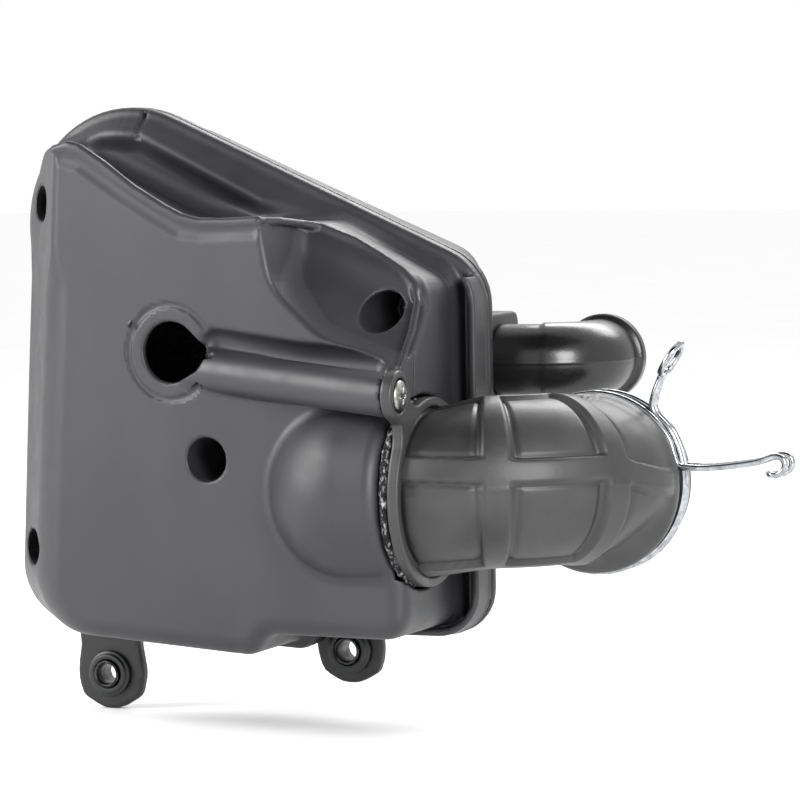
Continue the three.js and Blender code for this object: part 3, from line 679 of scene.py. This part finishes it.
def outer_case_field(x, y, z):
    outside = case_envelope(x, y, z)
    shell = np.maximum(outside, -outside - WALL)
    rim = np.maximum(rim_field(x, y, z, -RIM), -outline_field(inner_points, x, z) - 2)
    solid = round_union(shell, rim, 1.2)
    solid = round_union(solid, lip_field(x, y, z), 0.8)
    solid = np.maximum(solid, -seal_space(*SEAL_GROOVE, x, y, z))
    for tunnel_x, tunnel_z, radius in TUNNELS.values():
        from_axis = off_axis(x, z, tunnel_x, tunnel_z)
        post = np.maximum(np.maximum(from_axis - radius - 2, outside), y - SEAT_Y)
        solid = np.minimum(solid, post)
        solid = round_cut(solid, np.maximum(from_axis - radius, y - SEAT_Y + SEAT_THICKNESS), 0.7)
        solid = np.maximum(solid, SCREW_HOLE - from_axis)
    around = off_axis(x, z, SOCKET["x"], SOCKET["z"])
    mouth = around - SOCKET["radius"]
    for share in (0.2, 0.4, 0.6, 0.8, 1):
        centre_x = SOCKET["x"] + SOCKET_SIDE["shift_x"] * share
        centre_z = SOCKET["z"] + SOCKET_SIDE["shift_z"] * share
        radius = SOCKET["radius"] + (SOCKET_SIDE["radius"] - SOCKET["radius"]) * share
        mouth = np.minimum(mouth, off_axis(x, z, centre_x, centre_z) - radius)
    scribed = np.sqrt((around - SOCKET["ring"]) ** 2 + (-y - face_depth(x) - 0.6) ** 2) - 1.2
    dent = np.maximum(np.maximum(np.abs(x + 35.4) - 0.7, np.abs(z - 157.4) - 4), -0.8 - outside)
    port = off_axis(y, z, PORT["y"], PORT["z"])
    solid = round_cut(solid, np.maximum(mouth, y - SOCKET["floor"]), 0.9)
    solid = round_cut(solid, scribed, 0.3)
    solid = round_cut(solid, dent, 0.8)
    solid = round_cut(solid, np.maximum(port - PORT["bore"], 50 - x), 0.6)
    solid = round_cut(solid, np.maximum(port - RING["outer"] - 0.7, PORT["x"] - x), 0.7)
    ear_seat = box_field((RING["back"] - 0.3, -90, 55), (90, -40, 100), x, y, z)
    solid = np.maximum(solid, -ear_seat)
    pilot = np.maximum(off_axis(y, z, EAR["y"], EAR["z"]) - EAR["hole"], 60 - x)
    solid = np.maximum(solid, -pilot)
    return round_overlap(solid, y + SPLIT, 0.6)


def outer_case():
    field_piece(
        "outer_case_shell", outer_case_field, (-79.5, -67.5, -8.5), (79.5, 1.5, 185), 1.0 if fine else 2.0,
        case_plastic, "root", "outer_case_plastic", "outer_case")


# ------------------------------------------------------------------ inner case


def lug_field(lug, x, y, z):
    """Flat lug under the flange with a round end and a hole through it."""
    left, right = lug["top"]
    plate = rounded_outline([
        (left, lug["top_z"], 1), (lug["x"] - lug["radius"] * 0.8, lug["z"] - lug["radius"] * 0.6, 1),
        (lug["x"] + lug["radius"] * 0.8, lug["z"] - lug["radius"] * 0.6, 1), (right, lug["top_z"], 1),
    ])
    around = off_axis(x, z, lug["x"], lug["z"])
    shape = round_union(outline_field(plate, x, z), around - lug["radius"], 3)
    solid = round_overlap(shape, layer(y, *LUG_PLATE), 1)
    return round_cut(solid, around - 6.2, 0.5)


def posts_field(x, z):
    """The round posts that the case screws are driven into, without ends."""
    return np.minimum.reduce([off_axis(x, z, *tunnel[:2]) for tunnel in TUNNELS.values()]) - POST_RADIUS


def back_field(x, y, z):
    """The inner case's bowl behind the flange."""
    behind = 1 - np.clip(y / INNER_DEPTH, 0, 1)
    lean = 0.183 * behind
    across = np.where(x > 0, x / (1 + lean), x)
    side = outline_field(inner_points, across, z)
    return round_overlap(side, y - INNER_DEPTH, 6.5)


def inner_case_field(x, y, z):
    bowl = back_field(x, y, z)
    inside = outline_field(inner_points, x, z)
    panel = round_overlap(inside + 24, layer(y, INNER_DEPTH - 2, INNER_DEPTH + 1.6), 1.2)
    outside = round_union(bowl, panel, 1.5)
    boss = INLET_BOSS
    box = round_overlap(
        round_overlap(layer(y, boss["front"], boss["back"]), layer(z, boss["bottom"], boss["top"]), 3.5),
        layer(x, 40, boss["face"]), 1.2)
    outside = round_union(outside, box, 1.5)
    shell = np.maximum(outside, -outside - WALL)
    rim = np.maximum(rim_field(x, y, z, RIM), -inside - 3)
    solid = round_union(shell, rim, 1.5)
    strip = round_overlap(outline_field(flange_points, x, z) + 0.6, layer(y, 3, LUG_PLATE[1]), 1)
    solid = np.minimum(solid, np.maximum(strip, layer(x, 8, 48) + np.maximum(z - 6, 0)))
    for lug in LUGS.values():
        solid = round_union(solid, np.maximum(lug_field(lug, x, y, z), z - lug["top_z"] + 3), 0.8)
    posts = posts_field(x, z)
    solid = np.minimum(solid, np.maximum(posts, layer(y, POST_FRONT, INNER_DEPTH - 1)))
    hole = off_axis(y, z, INLET["y"], INLET["z"]) - INLET_BOSS["hole"]
    solid = round_cut(solid, np.maximum(hole, 60 - x), 0.5)
    solid = np.maximum(solid, -seal_space(*SEAL_GROOVE, x, y, z))
    return round_overlap(solid, np.minimum(SPLIT - y, np.maximum(posts, POST_FRONT - y)), 0.6)


def inner_case():
    field_piece(
        "inner_case_shell", inner_case_field, (-79.5, -6, -31), (79.5, 43.5, 185), 1.15 if fine else 2.0,
        inner_plastic, "root", "inner_case_plastic", "inner_case")


# ------------------------------------------------------------------ filter and seal


def clear_of_posts(solid, x, z):
    return round_overlap(solid, 1 - posts_field(x, z), 0.5)


def element_field(x, y, z):
    """Sheet of foam, cut clear of the posts."""
    inside = outline_field(inner_points, x, z)
    sheet = round_overlap(inside + FILTER["inset"], layer(y, FILTER["front"], FILTER["back"]), 2)
    return clear_of_posts(sheet, x, z)


def frame_field(x, y, z):
    """Plastic grid behind the foam: a border and crossing bars."""
    inside = outline_field(inner_points, x, z)
    border = layer(-inside, *GRID["border"])
    half_step, half_bar = GRID["step"] / 2, GRID["half_bar"]
    upright, level = (
        np.abs((value + half_step) % GRID["step"] - half_step) - half_bar for value in (x + 48, z - 24))
    beyond = np.maximum(z - 142, 0) + np.maximum(18 - z, 0)
    bars = np.minimum(upright + np.maximum(x - 50, 0), level + beyond)
    grid = round_union(border, np.maximum(bars, inside + 6), 1)
    return clear_of_posts(round_overlap(grid, layer(y, GRID["front"], GRID["back"]), 0.6), x, z)


def seal_field(x, y, z):
    return seal_space(*SEAL_CORD, x, y, z)


def filter_parts():
    element = field_piece(
        "filter_foam", element_field, (-74, 0, 1), (65, 16.5, 176), 1.9, foam, "root", "filter_foam",
        "filter_element")
    field_piece(
        "filter_grid", frame_field, (-74, 14.3, 1), (65, 19.5, 176), 1.1, inner_plastic, "root",
        "inner_case_plastic", "filter_frame")
    field_piece(
        "case_seal_cord", seal_field, (-79, -2.6, -8), (80, 2.6, 185), 0.8, seal_rubber, "root", "seal_foam",
        "case_seal")


# ------------------------------------------------------------------ ring, sealant and screws


def ring_field(x, y, z):
    around = off_axis(y, z, PORT["y"], PORT["z"])
    at_ear = off_axis(y, z, EAR["y"], EAR["z"])
    neck = bar_field((0, -46, 62), (0, EAR["y"], EAR["z"]), 5.2, 0, y, z)
    disc = around - RING["outer"]
    shape = round_union(round_union(disc, neck, 5), at_ear - EAR["radius"], 1.5)
    plate = round_overlap(shape, layer(x, RING["back"], RING["front"]), 0.8)
    plate = round_cut(plate, around - RING["bore"], 0.6)
    recess = np.maximum(at_ear - 5.2, RING["front"] - SCREW_SUNK - 0.2 - x)
    return np.maximum(round_cut(plate, recess, 0.3), EAR["hole"] - at_ear)


def boot_ring():
    field_piece(
        "boot_clamp_ring", ring_field, (69, -68, 17.5), (74.3, -4.5, 86), 0.55, ring_plastic, "root",
        "ring_plastic", "boot_ring")


def ripple(*waves):
    """A repeatable uneven line: the sum of sine waves given as (times round, height, start)."""
    return lambda angle: sum(h * math.sin(n * angle + s) for n, h, s in waves)


def boot_sealant():
    """Squeezed-out sealing compound between the port's face and the ring."""
    sides, section = 300, 16
    bulging = ripple((3, 0.25, 0.4), (7, 0.2, 2.1), (19, 0.16, 1.2), (43, 0.14, 0.3), (71, 0.1, 2.7))
    width = ripple((5, 0.12, 1.0), (23, 0.1, 0.2), (57, 0.08, 1.9))
    rings = []
    for i in range(sides):
        angle = 2 * math.pi * i / sides
        middle_x = (PORT["x"] + RING["back"]) / 2
        half = (RING["back"] - PORT["x"]) / 2 - 0.12 + min(0, width(angle))
        outer = 27.6 + bulging(angle)
        ring = []
        for k in range(section):
            turn = 2 * math.pi * k / section
            lump = 1 + 0.12 * math.sin(5 * turn + 31 * angle)
            radius = 26.2 + (outer - 26.2 + 0.6) * math.cos(turn) * lump
            ring.append((
                middle_x + half * math.sin(turn),
                PORT["y"] + radius * math.cos(angle),
                PORT["z"] + radius * math.sin(angle),
            ))
        rings.append(ring)
    points, faces = swept(np.array(rings))
    make_piece("boot_sealant", points, [faces], sealant, "root", "sealant", "boot_gasket")


def screw_field(x, y, z):
    """Pan-head screw along -y with its head's top at y = 0: a worn cross recess and a thread."""
    around = np.sqrt(x * x + z * z)
    depth = -y
    crown = np.maximum(0.035 * around ** 2 - depth, depth - SCREW["height"])
    head = round_overlap(around - SCREW["head"], crown, 0.7)
    turn = np.arctan2(z, x)
    pitch = 1.6
    wave = np.abs(((depth / pitch - turn / (2 * math.pi)) % 1) - 0.5) * 2
    tip = np.maximum(depth - (SCREW["reach"] - 2.5), 0) * 0.7
    shank = np.maximum(around - SCREW["shank"] + 0.45 * wave + tip, layer(depth, 1, SCREW["reach"]))
    arm = 0.62 + 0.03 * np.sin(5 * x) + 0.05 * np.sin(7 * z)
    taper = np.maximum(depth, 0) * 0.35
    upright = np.maximum(np.abs(x) - arm, np.abs(z) - 2.7)
    level = np.maximum(np.abs(z) - arm, np.abs(x) - 2.7)
    cross = np.minimum(upright, level)
    recess = np.maximum(np.minimum(cross, around - 1.3) + taper, depth - 1.8)
    return round_cut(np.minimum(head, shank), recess, 0.2)


def screws():
    reach, wide = SCREW["reach"] + 0.6, SCREW["head"] + 0.6
    points, faces = field_points(screw_field, (-wide, -reach, -wide), (wide, 0.8, wide), 0.3)
    x, y, z = settle(screw_field, points, 0.3).T
    across = np.stack([RING["front"] - SCREW_SUNK + SCREW["height"] + y, EAR["y"] + x, EAR["z"] + z], 1)
    make_piece("ear_screw", across, [faces], screw_zinc, "root", "zinc_screw", "boot_screw")
    head_top = SEAT_Y - SEAT_THICKNESS - 0.3 - SCREW["height"]
    for name, (tunnel_x, tunnel_z, _) in TUNNELS.items():
        forward = np.stack([tunnel_x - x, head_top - y, tunnel_z + z], 1)
        make_piece(
            f"tunnel_screw_{name}", forward, [faces], screw_zinc, "root", "zinc_screw", f"case_screw_{name}")


# ------------------------------------------------------------------ rubber elbows


def hose_lengths(hose):
    """Distances along an elbow to the start of its bend, to the bend's end and to its own end."""
    lead = hose["bend_x"] - hose["lead"]
    bend_end = lead + hose["bend"] * math.pi / 2
    return lead, bend_end, bend_end + hose["tail"]


def hose_place(hose, radius, angle, along):
    """Place on an elbow that leaves in +x and turns to +y. Angle 0 is the outside of the bend."""
    lead, bend_end, _ = hose_lengths(hose)
    turn = np.clip((along - lead) / hose["bend"], 0, math.pi / 2)
    before = np.minimum(along, lead)
    after = np.maximum(along - bend_end, 0)
    reach = hose["bend"] + radius * np.cos(angle)
    arched = smooth_step(along, 10, 32) * (1 - smooth_step(along, bend_end - 18, bend_end))
    rise = hose.get("rise", 0) * arched
    return np.stack(np.broadcast_arrays(
        hose["lead"] + before + reach * np.sin(turn),
        hose["y"] + hose["bend"] - reach * np.cos(turn) + after,
        hose["z"] + rise + radius * np.sin(angle),
    ), -1)


def hose_surface(hose, outside, inside, sides):
    """Outside and inside of an elbow as one closed skin. Each is (places along, radius function)."""
    angles = np.arange(sides)[None, :] * 2 * math.pi / sides
    rings = []
    for places, radius_at in (outside, inside):
        along = np.array(places, float)[:, None]
        rings.append(hose_place(hose, radius_at(along, angles), angles, along))
    points, faces = swept(np.concatenate(rings))
    return points, faces[:, ::-1]


def raised(value, middle, half_width, edge=0.9):
    """1 on a rib round middle, falling to 0 over its edge."""
    return 1 - smooth_step(np.abs(value - middle), half_width - edge / 2, half_width + edge / 2)


def outlet_boot():
    lead, bend_end, end = hose_lengths(OUTLET)
    ring_ribs = [lead + (bend_end - lead) * share for share in (0.28, 0.715)]
    lip_end = PORT["x"] + 1.5 - OUTLET["lead"]
    body_start = RING["back"] - 0.3 - OUTLET["lead"]
    groove_from, groove_to = (bend_end + place for place in COLLAR["groove"])

    def rib_net(along, angle, wider):
        ribs = np.zeros(np.broadcast(along, angle).shape)
        for place in ring_ribs:
            ribs = np.maximum(ribs, raised(along, place, OUTLET_RIB["half_ring"] + wider))
        ribs = np.maximum(ribs, 1 - smooth_step(along, body_start + 1.5 + wider, body_start + 3 + wider))
        twist = 21 - 9.5 * smooth_step(along, 10, 36) - 9 * smooth_step(along, 50, bend_end)
        for quarter in range(4):
            from_rib = np.angle(np.exp(1j * (angle - np.radians(90 * quarter + twist))))
            band = raised(OUTLET["body"] * from_rib, 0, OUTLET_RIB["half_long"] + wider)
            ribs = np.maximum(ribs, band * (1 - smooth_step(along, bend_end - 1, bend_end + 1)))
        return ribs

    def outer_radius(along, angle):
        ribs = rib_net(along, angle, 0)
        beside = rib_net(along, angle, OUTLET_RIB["groove_width"]) - ribs
        seam = 0.25 * raised(OUTLET["body"] * np.angle(np.exp(1j * angle)), 0, 0.25, 0.3)
        sag = 0.25 * np.sin(2 * angle + along / 9) + 0.15 * np.sin(3 * angle - along / 6)
        end_radius = 21.5 + 4.9 * smooth_step(np.sin(angle), -0.8, 0.1)
        last = smooth_step(along, ring_ribs[1] + 2, bend_end - 2)
        body = (OUTLET["body"] - 0.9) * (1 - last) + end_radius * last
        net = OUTLET_RIB["height"] * ribs - OUTLET_RIB["groove"] * beside
        body = body + net * (1 - 0.4 * last) + seam + sag * (1 - ribs)
        flare = smooth_step(along, bend_end - 2.5, bend_end + 3)
        lips = COLLAR["radius"] - smooth_step(along, groove_to - 3, groove_to)
        lips = lips - 0.6 * smooth_step(along, end - 0.8, end)
        seat = raised(along, (groove_from + groove_to) / 2, (groove_to - groove_from) / 2, 0.8)
        collar = lips + (COLLAR["seat"] - lips) * seat
        radius = body + (collar - body) * flare
        root = np.where(along < lip_end, PORT["bore"] - 0.3, RING["outer"] - 0.7)
        return np.where(along < body_start - 0.01, np.minimum(root, 25.2), radius)

    def inner_radius(along, angle):
        mouth = smooth_step(along, bend_end - 1, bend_end + 1)
        root = 1 - smooth_step(along, 5, 8)
        narrow = OUTLET["bore"] - 3 * smooth_step(along, ring_ribs[1] - 2, bend_end - 4)
        plain = narrow + (COLLAR["bore"] - narrow) * mouth
        return plain + (19.6 - plain) * root + 0 * angle

    places = [0, lip_end - 0.02, lip_end + 0.02, body_start - 0.02]
    places += list(np.arange(body_start, end - 1, 0.55)) + [end - 0.9, end - 0.5, end - 0.2, end]
    back = [end] + list(np.arange(end - 1, 0, -2.5)) + [0]
    points, faces = hose_surface(OUTLET, (places, outer_radius), (back, inner_radius), 220)
    make_piece("outlet_elbow", points, [faces], outlet_rubber, "root", "outlet_rubber", "outlet_boot")


def inlet_boot():
    lead, bend_end, end = hose_lengths(INLET)
    neck_from, neck_to = 2.1, 5.3

    def outer_radius(along, angle):
        seam_at = np.minimum(np.abs(np.angle(np.exp(1j * angle))), np.abs(np.angle(-np.exp(1j * angle))))
        seam = 0.22 * raised(INLET["body"] * seam_at, 0, 0.22, 0.25)
        step = 0.45 * smooth_step(along, lead + 5, lead + 5.8)
        body = INLET["body"] - 0.45 + step + seam
        lip = smooth_step(along, end - 4.6, end - 3.4)
        groove = 0.35 * raised(along, end - 5.4, 0.6, 0.5)
        radius = body - groove + (13.6 - body) * lip - 0.7 * smooth_step(along, end - 0.8, end)
        neck = np.where(along < neck_from, INLET["body"] - 0.5, 10.3)
        return np.where(along < neck_to - 0.01, neck, radius)

    def inner_radius(along, angle):
        mouth = smooth_step(along, bend_end + 1.5, bend_end + 3)
        root = 1 - smooth_step(along, 5, 7)
        plain = INLET["bore"] + (10.8 - INLET["bore"]) * mouth
        return plain + (8.4 - plain) * root + 0 * angle

    places = [0, neck_from - 0.02, neck_from + 0.02, neck_to - 0.02]
    places += list(np.arange(neck_to, end - 1, 0.5)) + [end - 0.8, end - 0.5, end - 0.2, end]
    back = [end] + list(np.arange(end - 1, 0, -1.8)) + [0]
    points, faces = hose_surface(INLET, (places, outer_radius), (back, inner_radius), 160)
    make_piece("inlet_elbow", points, [faces], inlet_rubber, "root", "inlet_rubber", "inlet_boot")


# ------------------------------------------------------------------ wire clamp


def clamp_point(angle, radius, side):
    turn = math.radians(angle)
    return (
        COLLAR["x"] + radius * math.cos(turn), WIRE["y"] + side, COLLAR["z"] + radius * math.sin(turn))


def smooth_line(points, step):
    """Centripetal Catmull-Rom curve through points, about step apart."""
    points = np.array(points, float)
    points = np.concatenate([[2 * points[0] - points[1]], points, [2 * points[-1] - points[-2]]])
    pieces = []
    for a, b, c, d in zip(points, points[1:], points[2:], points[3:]):
        gaps = [np.linalg.norm(q - p) ** 0.5 for p, q in ((a, b), (b, c), (c, d))]
        k0, k1, k2, k3 = np.concatenate([[0], np.cumsum(gaps)])
        count = max(2, int(round(np.linalg.norm(c - b) / step)))
        t = np.linspace(k1, k2, count, endpoint=False)[:, None]
        ab = ((k1 - t) * a + (t - k0) * b) / (k1 - k0)
        bc = ((k2 - t) * b + (t - k1) * c) / (k2 - k1)
        cd = ((k3 - t) * c + (t - k2) * d) / (k3 - k2)
        abc = ((k2 - t) * ab + (t - k0) * bc) / (k2 - k0)
        bcd = ((k3 - t) * bc + (t - k1) * cd) / (k3 - k1)
        pieces.append(((k2 - t) * abc + (t - k1) * bcd) / (k2 - k1))
    return np.concatenate(pieces + [points[-2:-1]])


def tube(line, radius, sides):
    """Round wire along a line, with cut and slightly rounded ends."""
    along = np.gradient(line, axis=0)
    along /= np.linalg.norm(along, axis=1, keepdims=True)
    side = np.cross(along[0], (0, 1, 0.3))
    angles = np.arange(sides) * 2 * math.pi / sides
    rings = []
    for place, ahead in zip(line, along):
        side = side - ahead * (side @ ahead)
        side = side / np.linalg.norm(side)
        other = np.cross(ahead, side)
        rings.append(place + radius * (np.cos(angles)[:, None] * side + np.sin(angles)[:, None] * other))
    rounding = ((0.82, 0.14), (0.4, 0.2), (0.02, 0.2))      # share of the radius, distance past the end
    ends = []
    for ring, place, ahead in ((rings[0], line[0], -along[0]), (rings[-1], line[-1], along[-1])):
        ends.append([place + ahead * past + (ring - place) * share for share, past in rounding])
    return swept(np.array(ends[0][::-1] + rings + ends[1]), closed_along=False)


def hairpin(start, ear, side_at, end):
    """One half of the clamp: out along the collar, round the ear's loop and back. The loop's
    places in end are (further turn, further out, side)."""
    stop, angle, lift = ear["stop"], ear["angle"], ear["lift"]
    strand = []
    for share in np.linspace(0, 1, 12):
        radius = WIRE["ring"] + lift * max(0, share - 0.7) / 0.3
        strand.append((start + (stop - start) * share, radius, side_at(share)))
    bend = WIRE["ring"] + lift + 2.5
    width = side_at(1)
    strand += [(stop + (angle - stop) * 0.6, bend + 1, width), (angle, bend + 8, width)]
    strand += [(angle + turn, ear["reach"] + out, side) for turn, out, side in end]
    turned_to, reach, side = strand[-1]
    loop = [(turned_to, reach + ear["tip"] * (1 - abs(share)), -share * side) for share in (-0.6, 0, 0.6)]
    back = [(angle, radius, -side) for angle, radius, side in reversed(strand)]
    return smooth_line([clamp_point(*place) for place in strand + loop + back], 0.8)


def wire_clamp():
    def narrowing(share):
        return WIRE["wide"] + (WIRE["narrow"] - WIRE["wide"]) * smooth_step(share, 0.35, 0.62)

    hook = [
        (0, -8, 3.6), (0.9, -1.8, 3.6), (-0.4, 0.2, 3.6), (-2.8, 0.2, 3.6), (-4.6, -2.2, 3.6),
        (-4.4, -4.6, 3.2),
    ]
    eye = [(0, -10, 3.6), (0, -5.5, 4.6), (0, -2, 3.4)]
    wide = hairpin(WIRE["far"] - WIRE["split"], WIDE_EAR, lambda share: WIRE["wide"], hook)
    narrow = hairpin(WIRE["far"] + WIRE["split"] - 360, NARROW_EAR, narrowing, eye)
    for half, line in (("wide", wide), ("narrow", narrow)):
        points, faces = tube(line, WIRE["radius"], 16)
        make_piece(
            f"clamp_spring_{half}", points, [faces], wire_zinc, f"clamp_{half}", "spring_wire",
            f"clamp_wire_{half}")


# ------------------------------------------------------------------ lug fittings


def lug_fittings():
    """Stepped rubber grommet and steel sleeve in each lug."""
    front, back = LUG_PLATE
    grommet = rounded_outline([
        (4.6, front - 2.6, 0.4), (6.2, front - 2.6, 0.4), (6.4, front - 1.7, 0.3), (7.3, front - 1.5, 0.4),
        (7.3, front - 0.3, 0.3), (5.9, front - 0.3, 0.3), (5.9, back + 0.3, 0.3), (7.3, back + 0.3, 0.3),
        (7.3, back + 1.5, 0.4), (6.4, back + 1.7, 0.3), (6.2, back + 2.6, 0.4), (4.6, back + 2.6, 0.4),
    ])
    sleeve = rounded_outline([(3.4, 4.6, 0.25), (4.3, 4.6, 0.25), (4.3, 15.4, 0.25), (3.4, 15.4, 0.25)])
    fittings = (
        ("grommet", grommet, grommet_rubber, "grommet_rubber"),
        ("sleeve", sleeve, sleeve_steel, "sleeve_steel"),
    )
    for side, lug in LUGS.items():
        def place(across, up, along):
            return lug["x"] + across, along, lug["z"] + up

        for kind, profile, material, slot in fittings:
            points, faces = turned(profile, 72, place)
            make_piece(f"{side}_lug_{kind}", points, [faces], material, "root", slot, f"lug_{kind}_{side}")


# ------------------------------------------------------------------ floor


def sheet(name, middle, half_size, material):
    """Flat level rectangle that belongs to the studio."""
    (x, y, z), (half_x, half_y) = middle, half_size
    corners = [(x + i * half_x, y + j * half_y, z) for i, j in ((-1, -1), (1, -1), (1, 1), (-1, 1))]
    mesh = bpy.data.meshes.new(name)
    mesh.from_pydata(corners, [], [(0, 1, 2, 3)])
    mesh.materials.append(material)
    card = bpy.data.objects.new(name, mesh)
    bpy.context.scene.collection.objects.link(card)


def floor():
    """Plain pale table top, and a black card overhead that keeps light off upward faces."""
    material, tree, places = new_material("matt_white_table", roughness=0.9, specular_ior_level=0.2)
    mottle = pattern(tree, places, 90, 2)
    connect(tree, base_color=shades(tree, mottle, "#fafafa", "#fcfcfc"))
    sheet("table_top", (0, 0, 0), (6, 6), material)
    felt = new_material("black_felt", roughness=1.0, specular_ior_level=0.0, base_color=linear("#050505"))[0]
    sheet("shade_card", (0.03, -0.22, 0.5), (0.34, 0.26), felt)


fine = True
studio_camera()
studio()
floor()
outer_case()
inner_case()
filter_parts()
boot_ring()
boot_sealant()
screws()
outlet_boot()
inlet_boot()
wire_clamp()
lug_fittings()
